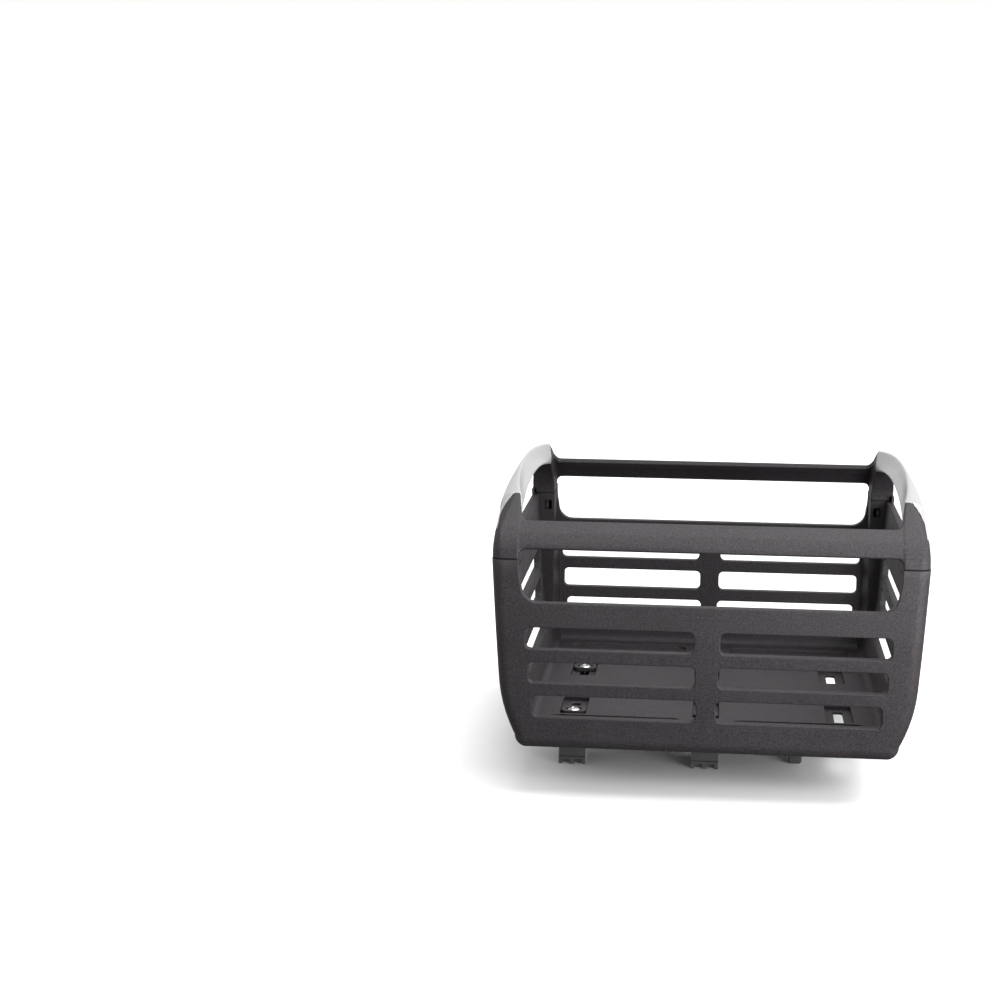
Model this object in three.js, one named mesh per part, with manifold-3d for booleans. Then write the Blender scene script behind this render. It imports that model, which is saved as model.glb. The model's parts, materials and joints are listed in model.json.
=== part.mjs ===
// Bicycle rack basket: a slotted plastic tub, two upper rail frames, two silver end handles and
// four adjustable rail clamps with two rest feet. Millimetres, +X along the bicycle, +Z up.
// The origin is on the ground plane under the middle of the basket.

import * as THREE from 'three';
import { mergeVertices } from 'three/addons/utils/BufferGeometryUtils.js';
import Module from 'manifold-3d';

const wasm = await Module();
wasm.setup();

// ---- Driving dimensions -------------------------------------------------------------------
const gap = 0.3;                 // clearance between touching pieces
const standHeight = 38.5;        // underside of the tub above the clamps' lowest face

// Tub: every height below is measured from the underside of the tub.
const halfLength = 165.2;        // half the tub's length along X at the seam
const halfWidth = 191;           // half the tub's width along Y at its widest
const endDraft = 0.06;           // lean of the end walls per millimetre of height
const endTuck = 14;              // how far the end walls curl under at the bottom
const endTuckHeight = 60;        // height where that curl starts
const sideTuck = 11.5;           // how far the side walls curl under at the bottom
const widestHeight = 100;        // height of the widest line of the side walls
const cornerRadius = 9;          // vertical corners, seen from above
const bottomRounding = 6;
const sideWall = 8;              // double-skinned walls, solid here
const endWall = 6;
const floorTop = 5;
const floorUnderside = 0.5;
const seamOutside = 151;         // tub top edge, outer lip
const seamInside = 146;          // tub top edge, inner lip and end wall rims
const lip = 2;                   // thickness of the outer lip at the seam

// Slots in the walls, from the bottom row up. A pillar parts those in the long sides.
const rows = [
  { low: 27, high: 44.6, sideEnd: 133.2, endEnd: 128, pillar: 7.6 },
  { low: 54.8, high: 71.8, sideEnd: 136.3, endEnd: 133, pillar: 8.7 },
  { low: 82, high: 99.2, sideEnd: 138.6, endEnd: 136, pillar: 10 },
];
const slotCorner = 4;
const bandTop = 118.6;           // lower edge of the large opening in each side
const openingHalf = 144;         // half length of that opening
const openingCorner = 11;

// Hollow corner columns.
const columnRootX = 144.4;       // column's flank where it meets the side wall
const columnFaceX = 145;         // and at its front face
const columnFaceY = 161;
const columnWall = 2.6;
const columnFloor = 12;
const windowX = 150.9;           // latch window in each column
const windowZ = 135;
const windowWidth = 6.4;
const windowHeight = 8.6;

// Floor.
const clampX = 108.5;            // clamp stations along the bicycle: -clampX, 0 and +clampX
const pocketHalf = 10.7;
const pocketInner = 37;
const pocketOuter = 89;
const pocketFloor = 1;
const pocketUnderside = -1.5;
const slotHalf = 3.9;
const slotInner = 41;
const slotOuter = 82;
const recessFloor = 3;

// Upper frames and handles.
const railLow = 160;
const handleEnd = 139.3;         // half length of the handle between the frames' horns
const shell = 3;                 // wall of the hollow posts

// Rail clamps.
const boltY = 72.6;
const railY = 60.6;              // rack rail, 10 mm in diameter, gripped by the clamps
const railZ = -27.3;
const railRadius = 5.2;
const clampHalf = 11;
const saddleInner = 50.3;
const saddleOuter = 86.6;
const saddleBottom = -32.1;
const boltRadius = 2.5;          // M5 screw
const boltEnd = -37.6;
const holeRadius = 2.85;
const headRadius = 5.6;
const plateSeat = 0.7;           // thickness of the washer plate under the screw head
const nutHalf = 4;               // square nut held in the jaw, with room to lower it by 5 mm
const nutLow = -32.4;
const nutHigh = -28.4;
const bossHalf = 5.4;
const bossTop = -26.8;
const seatHalf = 5;              // half width of the land under the rail, between two grooves
const footX = 74;
const footY = 57;

// ---- Materials ----------------------------------------------------------------------------
function material(color, roughness, metalness) {
  return new THREE.MeshStandardMaterial({ color, roughness, metalness });
}
const grainedPlastic = () => material(0x383638, 0.72, 0);
const silverPlastic = () => material(0xc4c4c6, 0.42, 0.15);
const clampPlastic = () => material(0x242426, 0.65, 0);
const zincSteel = () => material(0xb9bbbd, 0.35, 0.9);
const rubber = () => material(0x1c1c1d, 0.9, 0);

// ---- Solid helpers ------------------------------------------------------------------------
function toSolid(geometry) {
  const bare = geometry.clone();
  bare.deleteAttribute('normal');
  bare.deleteAttribute('uv');
  const merged = mergeVertices(bare, 1e-4);
  const vertProperties = new Float32Array(merged.attributes.position.array);
  const triVerts = new Uint32Array(merged.index.array);
  return new wasm.Manifold(new wasm.Mesh({ numProp: 3, vertProperties, triVerts }));
}

function toGeometry(solid) {
  const mesh = solid.getMesh();
  const geometry = new THREE.BufferGeometry();
  geometry.setAttribute('position', new THREE.BufferAttribute(new Float32Array(mesh.vertProperties), 3));
  geometry.setIndex(new THREE.BufferAttribute(new Uint32Array(mesh.triVerts), 1));
  geometry.computeVertexNormals();
  return geometry;
}

function joinAll(solids) {
  return solids.reduce((whole, piece) => whole.add(piece));
}

function cutAll(solid, cutters) {
  return cutters.reduce((rest, cutter) => rest.subtract(cutter), solid);
}

// Closed skin through rings of equal point count, with flat fans over both ends.
function loft(rings) {
  const count = rings[0].length;
  const points = rings.flat();
  const faces = [];
  for (let ring = 0; ring + 1 < rings.length; ring += 1) {
    for (let i = 0; i < count; i += 1) {
      const a = ring * count + i;
      const b = ring * count + ((i + 1) % count);
      faces.push(a, b, b + count, a, b + count, a + count);
    }
  }
  const last = (rings.length - 1) * count;
  for (let i = 1; i + 1 < count; i += 1) {
    faces.push(0, i + 1, i);
    faces.push(last, last + i, last + i + 1);
  }
  const geometry = new THREE.BufferGeometry();
  geometry.setAttribute('position', new THREE.Float32BufferAttribute(points.flat(), 3));
  geometry.setIndex(faces);
  const solid = toSolid(geometry);
  return solid.volume() < 0 ? toSolid(flipped(geometry)) : solid;
}

function flipped(geometry) {
  const copy = geometry.clone();
  copy.setIndex(Array.from(geometry.index.array).reverse());
  return copy;
}

function box(lowX, highX, lowY, highY, lowZ, highZ) {
  const geometry = new THREE.BoxGeometry(highX - lowX, highY - lowY, highZ - lowZ);
  geometry.translate((lowX + highX) / 2, (lowY + highY) / 2, (lowZ + highZ) / 2);
  return toSolid(geometry);
}

// Limits of a stretch from near to far on one side of the middle, lowest first.
function spread(side, near, far) {
  return [side * near, side * far].sort((a, b) => a - b);
}

function roundedShape(lowU, highU, lowV, highV, radius) {
  const shape = new THREE.Shape();
  shape.absarc(highU - radius, lowV + radius, radius, -Math.PI / 2, 0);
  shape.absarc(highU - radius, highV - radius, radius, 0, Math.PI / 2);
  shape.absarc(lowU + radius, highV - radius, radius, Math.PI / 2, Math.PI);
  shape.absarc(lowU + radius, lowV + radius, radius, Math.PI, Math.PI * 1.5);
  return shape;
}

// Extrusions of a shape along one axis. The shape's own axes are the other two, in X, Y, Z order.
function alongZ(shape, low, high, curveSegments = 3) {
  const options = { depth: high - low, bevelEnabled: false, curveSegments };
  const geometry = new THREE.ExtrudeGeometry(shape, options);
  geometry.translate(0, 0, low);
  return toSolid(geometry);
}

function alongY(shape, low, high, curveSegments = 3) {
  const options = { depth: high - low, bevelEnabled: false, curveSegments };
  const geometry = new THREE.ExtrudeGeometry(shape, options);
  geometry.rotateX(Math.PI / 2);
  geometry.translate(0, high, 0);
  return toSolid(geometry);
}

function alongX(shape, low, high, curveSegments = 3) {
  const options = { depth: high - low, bevelEnabled: false, curveSegments };
  const geometry = new THREE.ExtrudeGeometry(shape, options);
  geometry.rotateX(Math.PI / 2);
  geometry.rotateZ(Math.PI / 2);
  geometry.translate(low, 0, 0);
  return toSolid(geometry);
}

function cylinderZ(radius, x, y, low, high, segments = 16) {
  const geometry = new THREE.CylinderGeometry(radius, radius, high - low, segments);
  geometry.rotateX(Math.PI / 2);
  geometry.translate(x, y, (low + high) / 2);
  return toSolid(geometry);
}

function polygon(points) {
  return new THREE.Shape(points.map(([u, v]) => new THREE.Vector2(u, v)));
}

// ---- Outer form of the tub ----------------------------------------------------------------
function endAt(height) {
  const curl = Math.max(0, (endTuckHeight - height) / endTuckHeight);
  return halfLength - endDraft * (seamInside - height) - endTuck * curl ** 2.2;
}

function sideAt(height) {
  const below = Math.max(0, (widestHeight - height) / widestHeight);
  const above = Math.max(0, (height - widestHeight) / widestHeight);
  return halfWidth - sideTuck * below ** 1.4 - 5.5 * above ** 2;
}

function roundedRing(halfX, halfY, radius, z, steps = 5) {
  const ring = [];
  const quarters = [[1, 1], [-1, 1], [-1, -1], [1, -1]];
  quarters.forEach(([signX, signY], quarter) => {
    for (let i = 0; i <= steps; i += 1) {
      const angle = ((quarter + i / steps) * Math.PI) / 2;
      ring.push([
        signX * (halfX - radius) + radius * Math.cos(angle),
        signY * (halfY - radius) + radius * Math.sin(angle),
        z,
      ]);
    }
  });
  return ring;
}

function tubSection(height, insetX, insetY = insetX) {
  const radius = Math.max(1, cornerRadius - (insetX + insetY) / 2);
  return roundedRing(endAt(height) - insetX, sideAt(height) - insetY, radius, height);
}

const bodyHeights = [bottomRounding, 14, 22, 32, 44, 60, 80, widestHeight, 125, seamInside, seamOutside];

function tubOutside() {
  const rings = [
    tubSection(0, bottomRounding),
    tubSection(bottomRounding * 0.3, bottomRounding * 0.3),
    ...bodyHeights.map((height) => tubSection(height, 0)),
  ];
  return loft(rings);
}

function tubInside() {
  const rings = [
    tubSection(floorTop, endWall + 5, sideWall + 5),
    tubSection(floorTop + 1.5, endWall + 1.5, sideWall + 1.5),
    ...bodyHeights.slice(1).map((height) => tubSection(height, endWall, sideWall)),
    tubSection(seamOutside + 10, endWall, sideWall),
  ];
  return loft(rings);
}

// ---- Tub ----------------------------------------------------------------------------------
function wallSlots() {
  const cutters = [];
  for (const { low, high, sideEnd, endEnd, pillar } of rows) {
    cutters.push(alongX(roundedShape(-endEnd, endEnd, low, high, slotCorner), -220, 220));
    for (const side of [-1, 1]) {
      const limits = spread(side, pillar, sideEnd);
      cutters.push(alongY(roundedShape(...limits, low, high, slotCorner), -220, 220));
    }
  }
  return cutters;
}

function columnPlan(signX, signY, inset, reach) {
  const points = [
    [columnRootX + inset, 186], [columnFaceX + inset, columnFaceY + inset], [reach, columnFaceY + inset],
    [reach, 200 + inset], [columnRootX + inset, 200 + inset],
  ];
  return polygon(points.map(([x, y]) => [signX * x, signY * y]));
}

function cornerColumns() {
  const corners = [[-1, -1], [-1, 1], [1, -1], [1, 1]];
  const columns = corners.map(([signX, signY]) => {
    const block = alongZ(columnPlan(signX, signY, 0, 180), floorTop - 1, seamInside);
    const hollow = alongZ(columnPlan(signX, signY, columnWall, 181), columnFloor, seamInside + 1);
    const latchWindow = box(
      ...spread(signX, windowX - windowWidth / 2, windowX + windowWidth / 2),
      ...spread(signY, columnFaceY - 2, columnFaceY + columnWall + 0.6),
      windowZ - windowHeight / 2, windowZ + windowHeight / 2,
    );
    return cutAll(block, [hollow, latchWindow]);
  });
  const heights = [0, ...bodyHeights];
  const middleOfWall = loft(heights.map((height) => tubSection(height, endWall / 2, sideWall / 2)));
  return joinAll(columns).intersect(middleOfWall);
}

function floorCutters() {
  const cutters = [box(-126, 126, -160, 160, -5, floorUnderside)];
  for (const side of [-1, 1]) {
    const middle = spread(side, 20, 112);
    const outer = spread(side, 20, 128);
    cutters.push(alongZ(roundedShape(...middle, -13, 13, 6), recessFloor, floorTop + 2));
    for (const end of [-1, 1]) {
      cutters.push(alongZ(roundedShape(...outer, ...spread(end, 92, 158), 9), recessFloor, floorTop + 2));
    }
  }
  return cutters;
}

function clampStations() {
  const stations = [];
  for (const x of [-clampX, 0, clampX]) {
    for (const side of [-1, 1]) {
      stations.push({ x, side });
    }
  }
  return stations;
}

function buildTub() {
  let tub = cutAll(tubOutside(), [tubInside(), ...floorCutters()]).add(cornerColumns());

  const pocketTrays = [];
  const pocketCuts = [];
  for (const { x, side } of clampStations()) {
    const tray = spread(side, pocketInner - 3, pocketOuter + 3);
    const pocket = spread(side, pocketInner, pocketOuter);
    const slot = spread(side, slotInner, slotOuter);
    pocketTrays.push(box(x - pocketHalf - 2.5, x + pocketHalf + 2.5, ...tray, pocketUnderside, recessFloor));
    pocketCuts.push(box(x - pocketHalf, x + pocketHalf, ...pocket, pocketFloor, floorTop + 3));
    pocketCuts.push(alongZ(roundedShape(x - slotHalf, x + slotHalf, ...slot, slotHalf - 0.2), -9, 9));
  }
  tub = cutAll(tub.add(joinAll(pocketTrays)), pocketCuts);

  const spigots = [-1, 1].map((side) => cylinderZ(3, footX, side * footY, -9, recessFloor));
  tub = tub.add(joinAll(spigots));

  const opening = roundedShape(-openingHalf, openingHalf, bandTop, seamOutside + 40, openingCorner);
  const lapRings = [tubSection(seamInside, lip), tubSection(seamOutside + 2, lip)];
  const rimCut = box(-220, 220, -columnFaceY + 9, columnFaceY - 9, seamInside, seamOutside + 5);
  return cutAll(tub, [...wallSlots(), alongY(opening, -220, 220), loft(lapRings), rimCut]);
}

// ---- Arched ends: the frames' posts and the handles share one band ---------------------------
// Each station gives the outer edge (y, z), the inner edge (y, z), the X of the inner side at the
// outer and inner edge, the X of the outer side and the radius of the rounded outer shoulder.
const archStations = [
  {
    outer: [189.6, seamInside], inner: [columnFaceY, seamInside],
    nearX: [144.4, 145], farX: 165.2, round: 9,
  },
  { outer: [189.2, 153], inner: [160.6, 150.5], nearX: [144.4, 145], farX: 165.3, round: 9 },
  { outer: [186.4, 161], inner: [158.8, 157], nearX: [144.4, 145.4], farX: 165.2, round: 9 },
  { outer: [178.5, 170.6], inner: [155, 164], nearX: [144.4, 146], farX: 164.8, round: 8.5 },
  { outer: [167, 179.3], inner: [150, 169.6], nearX: [144.6, 146.6], farX: 164.2, round: 8.5 },
  { outer: [154, 187.5], inner: [144.8, 173.6], nearX: [146, 146.8], farX: 163.8, round: 8.5 },
  { outer: [handleEnd, 195.4], inner: [handleEnd, 176.8], nearX: [147.6, 146.8], farX: 163.6, round: 8.5 },
  { outer: [105, 199], inner: [105, 181.7], nearX: [151.6, 147.9], farX: 164.2, round: 8.5 },
  { outer: [70, 201.2], inner: [70, 185.3], nearX: [154.6, 148.9], farX: 164.8, round: 8 },
  { outer: [35, 202.6], inner: [35, 187.5], nearX: [156.3, 149.6], farX: 165.2, round: 7.5 },
  { outer: [0, 203], inner: [0, 188.3], nearX: [156.9, 149.8], farX: 165.4, round: 7.5 },
];

function archRing(station, signX, signY, inset) {
  const { outer, inner, nearX, farX, round } = station;
  const depth = Math.hypot(outer[0] - inner[0], outer[1] - inner[1]);
  const across = [(outer[0] - inner[0]) / depth, (outer[1] - inner[1]) / depth];
  const place = (x, rise) => [signX * x, signY * (inner[0] + across[0] * rise), inner[1] + across[1] * rise];
  const radius = Math.max(1, round - inset);
  const top = depth - inset;
  const side = farX - inset;
  const ring = [
    place(side, inset),
    place(nearX[1] + inset, inset),
    place(nearX[1] + (nearX[0] - nearX[1]) * 0.6 + inset, depth * 0.6),
    place(Math.min(nearX[0] + inset, side - radius - 0.5), top),
  ];
  for (let i = 0; i <= 4; i += 1) {
    const angle = (i / 4) * (Math.PI / 2);
    ring.push(place(side - radius + radius * Math.sin(angle), top - radius + radius * Math.cos(angle)));
  }
  return ring;
}

function archBand(stations, signX, signY, inset) {
  return loft(stations.map((station) => archRing(station, signX, signY, inset)));
}

// Everything outside the horn's slanted outer edge, seen along Y, where the silver handle shows.
function silverWedge(signX, clearance) {
  const edge = [[151.2, 198], [155.2, 193.4], [158.7, 188.6], [161.4, 182.6], [163.1, 176], [164, 170]];
  const points = edge.map(([x, z]) => [signX * (x + clearance), z]);
  points.push([signX * 180, 170], [signX * 180, 198]);
  return alongY(polygon(signX > 0 ? points.reverse() : points), -172, 172);
}

function seamRing() {
  const rings = [roundedRing(190, 215, 20, 110), roundedRing(190, 215, 20, seamOutside + gap)];
  const core = [tubSection(seamInside, lip + gap), tubSection(seamOutside + 2, lip + gap)];
  const below = core[0].map(([x, y]) => [x, y, 100]);
  return loft(rings).subtract(loft([below, ...core]));
}

function railSolid(signY) {
  const profile = [
    [184, 160.2], [186.2, 161.8], [184.6, 165], [178.5, 170.8], [167.2, 179.2], [164.6, 179.4],
    [162, 177.2], [162.4, 174], [165.4, 173], [175.6, 166.4], [180.6, railLow],
  ];
  const shape = polygon(profile.map(([y, z]) => [signY * y, z]));
  return alongX(shape, -146, 146);
}

function latchTongue(signX, signY) {
  const x = spread(signX, 150.3, 153.7);
  const blade = box(...x, ...spread(signY, 164.1, 166), 122, 156);
  const root = box(...x, ...spread(signY, 161.3, 166), seamInside + gap, 156);
  const hook = box(
    ...spread(signX, 150.5, 153.5), ...spread(signY, 161.9, 164.5), windowZ - 3.2, windowZ + 1.6,
  );
  return joinAll([blade, root, hook]);
}

function buildFrame(signY) {
  const postStations = archStations.slice(0, 7);
  const posts = [-1, 1].map((signX) => {
    const lower = { ...postStations[0], outer: [189.6, 140], inner: [columnFaceY, 140] };
    const beyond = { ...postStations[6], outer: [130, 197], inner: [130, 179] };
    const skin = archBand(postStations, signX, signY, 0);
    const hollow = archBand([lower, ...postStations.slice(1), beyond], signX, signY, shell);
    return cutAll(skin, [hollow, silverWedge(signX, 0)]).add(latchTongue(signX, signY));
  });
  const trims = [
    seamRing(),
    box(-220, 220, -220, 220, 100, seamInside + gap).subtract(
      joinAll([-1, 1].map((signX) => latchTongueSpace(signX, signY))),
    ),
    box(-220, 220, -(handleEnd + gap), handleEnd + gap, 100, 260),
  ];
  return cutAll(joinAll([...posts, railSolid(signY)]), trims);
}

function latchTongueSpace(signX, signY) {
  return box(...spread(signX, 150, 154), ...spread(signY, 161.2, 167), 90, seamInside + 2);
}

// ---- Silver handles -----------------------------------------------------------------------
function buildHandle(signX) {
  const half = archStations.slice(6);
  const mirrored = half.slice(0, -1).map((station) => ({
    ...station,
    outer: [-station.outer[0], station.outer[1]],
    inner: [-station.inner[0], station.inner[1]],
  }));
  const grip = archBand([...half, ...mirrored.reverse()], signX, 1, 0);
  const feet = [-1, 1].map((signY) => {
    const band = archBand(archStations.slice(3, 8), signX, signY, 0);
    const reach = box(-220, 220, ...spread(signY, handleEnd - 2, 168), 150, 260);
    const outerStrip = band.intersect(silverWedge(signX, gap)).intersect(reach);
    const tenonStations = archStations.slice(5, 8);
    const tenon = archBand(tenonStations, signX, signY, shell + 0.8)
      .intersect(box(-220, 220, ...spread(signY, handleEnd - 3, 150), 150, 260));
    return outerStrip.add(tenon);
  });
  return joinAll([grip, ...feet]);
}

// ---- Rail clamps --------------------------------------------------------------------------
function washerPlate(x, side) {
  const y = side * boltY;
  const low = pocketFloor + gap;
  const plate = alongZ(roundedShape(x - 10.1, x + 10.1, y - 9, y + 9, 6), low, low + 3.5);
  const counterbore = cylinderZ(headRadius + 1, x, y, low + plateSeat, low + 9, 20);
  return cutAll(plate, [cylinderZ(holeRadius, x, y, -5, 9), counterbore]);
}

function domeBolt(x, side) {
  const seat = pocketFloor + plateSeat + 2 * gap;
  const profile = [
    [0, boltEnd], [boltRadius - 0.5, boltEnd], [boltRadius, boltEnd + 0.6],
    [boltRadius, seat], [headRadius, seat],
  ];
  for (let i = 0; i < 4; i += 1) {
    const angle = (i / 4) * (Math.PI / 2);
    profile.push([headRadius * Math.cos(angle), seat + 0.8 + 2.4 * Math.sin(angle)]);
  }
  profile.push([0, seat + 3.2]);
  const geometry = new THREE.LatheGeometry(profile.map(([r, z]) => new THREE.Vector2(r, z)), 16);
  geometry.rotateX(Math.PI / 2);
  geometry.translate(x, side * boltY, 0);
  const socket = cylinderZ(1.8, x, side * boltY, seat + 1.3, seat + 6, 6);
  return toSolid(geometry).subtract(socket);
}

function saddle(x, side) {
  const top = pocketUnderside - gap;
  const width = spread(side, saddleInner, saddleOuter);
  const block = box(x - clampHalf, x + clampHalf, ...width, saddleBottom, top);
  const arch = new THREE.Shape();
  arch.moveTo(side * railY - railRadius, saddleBottom - 5);
  arch.lineTo(side * railY + railRadius, saddleBottom - 5);
  arch.absarc(side * railY, railZ, railRadius, 0, Math.PI);
  const room = bossHalf + 0.4;
  const bossSpace = box(x - room, x + room, ...spread(side, boltY - room, boltY + room), -40, bossTop + 0.4);
  const chamfer = polygon([[side * 88, -2], [side * 82, 4], [side * 92, 4]]);
  return cutAll(block, [
    alongX(arch, x - 20, x + 20, 6),
    bossSpace,
    alongX(chamfer, x - 20, x + 20),
    cylinderZ(holeRadius, x, side * boltY, -50, 5),
  ]);
}

function jaw(x, side) {
  const top = saddleBottom - gap;
  const plate = box(
    x - clampHalf, x + clampHalf, ...spread(side, saddleInner, saddleOuter + 0.8), -standHeight, top,
  );
  const boss = box(
    x - bossHalf, x + bossHalf, ...spread(side, boltY - bossHalf, boltY + bossHalf), -standHeight, bossTop,
  );
  const notches = [-1, 1].map((end) => box(
    x + end * 5.1 - 3.2, x + end * 5.1 + 3.2, ...spread(side, saddleOuter - 4, saddleOuter + 9), -50, -34.4,
  ));
  const grooves = [
    spread(side, railY - seatHalf - 1, railY - seatHalf),
    spread(side, railY + seatHalf, boltY - bossHalf),
  ].map((width) => box(x - 20, x + 20, ...width, top - 0.8, top + 5));
  const room = nutHalf + gap;
  const nutPocket = box(x - room, x + room, ...spread(side, boltY - room, boltY + room), -50, nutHigh + gap);
  const bolthole = cylinderZ(holeRadius, x, side * boltY, -60, 5);
  return cutAll(cutAll(plate, grooves).add(boss), [...notches, nutPocket, bolthole]);
}

function squareNut(x, side) {
  const body = box(
    x - nutHalf, x + nutHalf, ...spread(side, boltY - nutHalf, boltY + nutHalf), nutLow, nutHigh,
  );
  return body.subtract(cylinderZ(boltRadius + 0.1, x, side * boltY, -60, 5));
}

function restFoot(side) {
  const top = floorUnderside - gap;
  const rings = [
    [4.6, 6.4, -standHeight], [5.6, 7.4, -standHeight + 1.5], [6.4, 8.6, -12], [8.5, 10.5, top],
  ].map(([halfX, halfY, z]) => roundedRing(halfX, halfY, 2.5, z, 3)
    .map(([x, y]) => [x + footX, y + side * footY, z]));
  return loft(rings).subtract(cylinderZ(3 + gap, footX, side * footY, -10, 5));
}

// ---- Assembly -----------------------------------------------------------------------------
const basket = new THREE.Group();
const raised = new THREE.Group();
raised.position.z = standHeight;
basket.add(raised);

function addPiece(name, solid, look) {
  const mesh = new THREE.Mesh(toGeometry(solid), look);
  mesh.name = name;
  raised.add(mesh);
}

addPiece('tub', buildTub(), grainedPlastic());
addPiece('near_rail_frame', buildFrame(-1), grainedPlastic());
addPiece('far_rail_frame', buildFrame(1), grainedPlastic());
addPiece('left_handle', buildHandle(-1), silverPlastic());
addPiece('right_handle', buildHandle(1), silverPlastic());

for (const [place, x] of [['left', -clampX], ['middle', 0]]) {
  for (const [depth, side] of [['near', -1], ['far', 1]]) {
    const name = `${depth}_${place}`;
    addPiece(`${name}_washer_plate`, washerPlate(x, side), grainedPlastic());
    addPiece(`${name}_bolt`, domeBolt(x, side), zincSteel());
    addPiece(`${name}_saddle`, saddle(x, side), clampPlastic());
    addPiece(`${name}_jaw`, jaw(x, side), clampPlastic());
    addPiece(`${name}_nut`, squareNut(x, side), zincSteel());
  }
}
addPiece('near_rest_foot', restFoot(-1), rubber());
addPiece('far_rest_foot', restFoot(1), rubber());

export default basket;
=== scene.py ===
"""Rack-mounted bicycle basket on a pale studio floor.

Shapes are in millimetres, with heights measured from the tub's underside.
"""

import json
import math

import bmesh
import bpy
from mathutils import Matrix, Vector
from mathutils.geometry import delaunay_2d_cdt

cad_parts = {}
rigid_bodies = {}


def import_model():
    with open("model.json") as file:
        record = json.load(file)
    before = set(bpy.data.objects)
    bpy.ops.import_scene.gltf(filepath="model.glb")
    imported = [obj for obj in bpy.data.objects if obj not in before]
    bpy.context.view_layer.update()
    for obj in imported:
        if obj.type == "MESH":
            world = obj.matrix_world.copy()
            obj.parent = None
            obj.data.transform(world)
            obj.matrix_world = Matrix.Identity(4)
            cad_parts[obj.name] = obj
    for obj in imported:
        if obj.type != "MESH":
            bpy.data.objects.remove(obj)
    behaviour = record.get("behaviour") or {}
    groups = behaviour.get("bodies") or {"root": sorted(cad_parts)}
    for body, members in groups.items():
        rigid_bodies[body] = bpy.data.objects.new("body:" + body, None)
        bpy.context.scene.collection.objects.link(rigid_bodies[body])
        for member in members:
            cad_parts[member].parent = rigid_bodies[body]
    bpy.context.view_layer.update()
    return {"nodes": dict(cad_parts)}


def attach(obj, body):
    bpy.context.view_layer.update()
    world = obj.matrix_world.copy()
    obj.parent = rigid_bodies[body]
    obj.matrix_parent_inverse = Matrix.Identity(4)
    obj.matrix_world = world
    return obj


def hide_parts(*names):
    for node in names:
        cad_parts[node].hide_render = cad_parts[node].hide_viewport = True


for leftover in list(bpy.data.objects):
    bpy.data.objects.remove(leftover)
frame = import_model()

STAND = 38.5  # underside of the tub above the floor
HIGH_SKY = 1.0
LOW_SKY = 0.25

# ---------------------------------------------------------------- tub dimensions
HALF_LENGTH = 165.2
HALF_WIDTH = 191.0
SEAM_OUT = 151.0
SEAM_IN = 146.0
LIP = 2.0
SIDE_WALL = 8.0
END_WALL = 6.0
CORNER = 9.0
WALL_FOOT = 12.0
FLOOR_TOP = 5.0
RECESS = 3.0
POCKET_FLOOR = 1.0
TRAY_UNDER = -1.5
BAND_TOP = 118.6
OPENING_HALF = 144.1
EDGE_R = 0.9  # rounding of the walls' cut edges
SLOT_CORNER = 4.2
HAND_HALF = 152.0
CLAMP_X = 108.5
COLUMN_ROOT = 144.5
COLUMN_ROOT_BAND = 143.0
COLUMN_ROOT_FLOOR = 138.5
COLUMN_EDGE = 145.0
COLUMN_FACE = 161.0
WINDOW_X = 150.9
WINDOW_H = 135.0
ROWS = [  # low, high, side slot end, end-wall slot end, half pillar
    (27.0, 44.6, 133.2, 128.0, 7.6),
    (54.8, 71.8, 136.3, 133.0, 8.7),
    (82.0, 99.2, 138.6, 136.0, 10.0),
]
MESH_SPACING = 9.0
RIM_SPACING = 14.0
STRAIGHT = 200  # point spacing above the length of every edge it is used on: no extra points
RECESS_NEAR_X = 20
MIDDLE_RECESS_FAR_X = 112
MIDDLE_RECESS_HALF_Y = 13
OUTER_RECESS_FAR_X = 128
OUTER_RECESS_Y = (92, 158)
POCKET_HALF_X = 10.7
POCKET_Y = (37, 89)
SLOT_HALF_X = 3.9
SLOT_Y = (41, 82)
TRAY_HALF_X = 13.2
TRAY_MARGIN = 3


def end_at(h):
    curl = max(0.0, (60 - h) / 60)
    return HALF_LENGTH - 0.06 * (SEAM_IN - h) - 14 * curl**2.2


def side_at(h):
    below = max(0.0, (100 - h) / 100)
    above = max(0.0, (h - 100) / 100)
    return HALF_WIDTH - 11.5 * below**1.4 - 5.5 * above**2


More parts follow.
